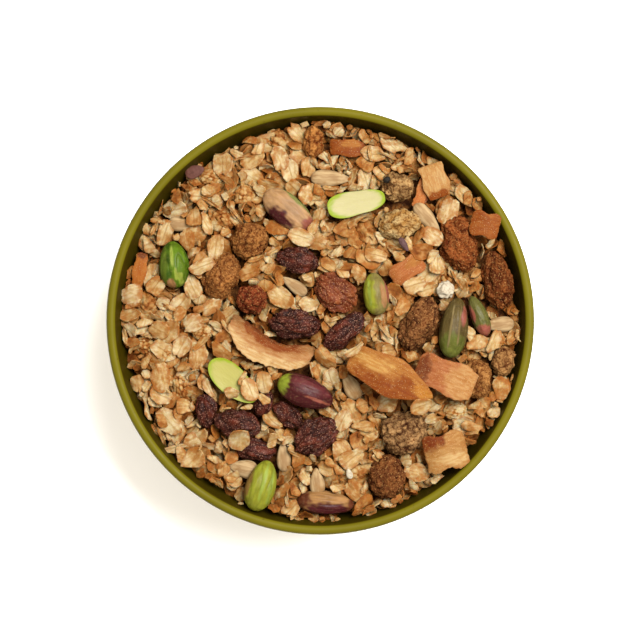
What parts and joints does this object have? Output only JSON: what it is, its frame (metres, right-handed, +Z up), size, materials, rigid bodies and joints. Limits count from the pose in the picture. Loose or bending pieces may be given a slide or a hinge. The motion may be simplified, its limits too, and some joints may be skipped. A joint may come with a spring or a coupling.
{
  "type": "bowl of granola",
  "caption": "Round glazed stoneware bowl filled to the lip with oat granola, with pistachios, raisins, dried mulberries and toasted coconut chips on top.",
  "frame": {"origin": "centre of the foot ring, on the surface that the bowl stands on", "axes": "+Z up along the bowl's axis; +X and +Y are the picture's right and up, seen from straight above"},
  "size_m": [0.13, 0.13, 0.0696],
  "materials": {
    "glaze": "satin olive green glaze",
    "oats": "toasted rolled oats, dry and dull",
    "pistachio": "shelled nut with its thin skin, slight sheen",
    "raisin": "wrinkled dark skin, slight gloss",
    "mulberry": "dried fruit, knobbly and dull with sugar crystals",
    "coconut": "toasted coconut, slightly oily"
  },
  "bodies": {
    "root": {"bowl": "glaze", "granola": "oats", "pistachio_bright_green": "pistachio", "pistachio_half_skinned": "pistachio", "pistachio_blanched_half": "pistachio", "pistachio_green_tan": "pistachio", "pistachio_small_olive": "pistachio", "pistachio_large_olive": "pistachio", "pistachio_yellow_green": "pistachio", "pistachio_rim_purple": "pistachio", "pistachio_green_half": "pistachio", "pistachio_purple": "pistachio", "raisin_under_nut": "raisin", "raisin_small_dark": "raisin", "raisin_lower_left": "raisin", "raisin_left": "raisin", "raisin_middle_left": "raisin", "raisin_broad_dark": "raisin", "raisin_golden": "raisin", "raisin_top": "raisin", "raisin_centre_left": "raisin", "raisin_centre_right": "raisin", "mulberry_long_left": "mulberry", "mulberry_upper_left": "mulberry", "mulberry_small_red": "mulberry", "mulberry_crumbly": "mulberry", "mulberry_pale": "mulberry", "mulberry_right_amber": "mulberry", "mulberry_rim_right": "mulberry", "mulberry_middle_dark": "mulberry", "mulberry_lower_crumbly": "mulberry", "mulberry_lower_smooth": "mulberry", "mulberry_right_low": "mulberry", "mulberry_rim_small": "mulberry", "mulberry_rim_top": "mulberry", "coconut_pink_brown": "coconut", "coconut_golden": "coconut", "coconut_curled": "coconut", "coconut_rim_square": "coconut", "coconut_folded_low": "coconut", "coconut_folded_high": "coconut", "coconut_right_amber": "coconut", "coconut_top_toasted": "coconut", "coconut_left_edge": "coconut", "coconut_behind_nut": "coconut"}
  },
  "joints": []
}
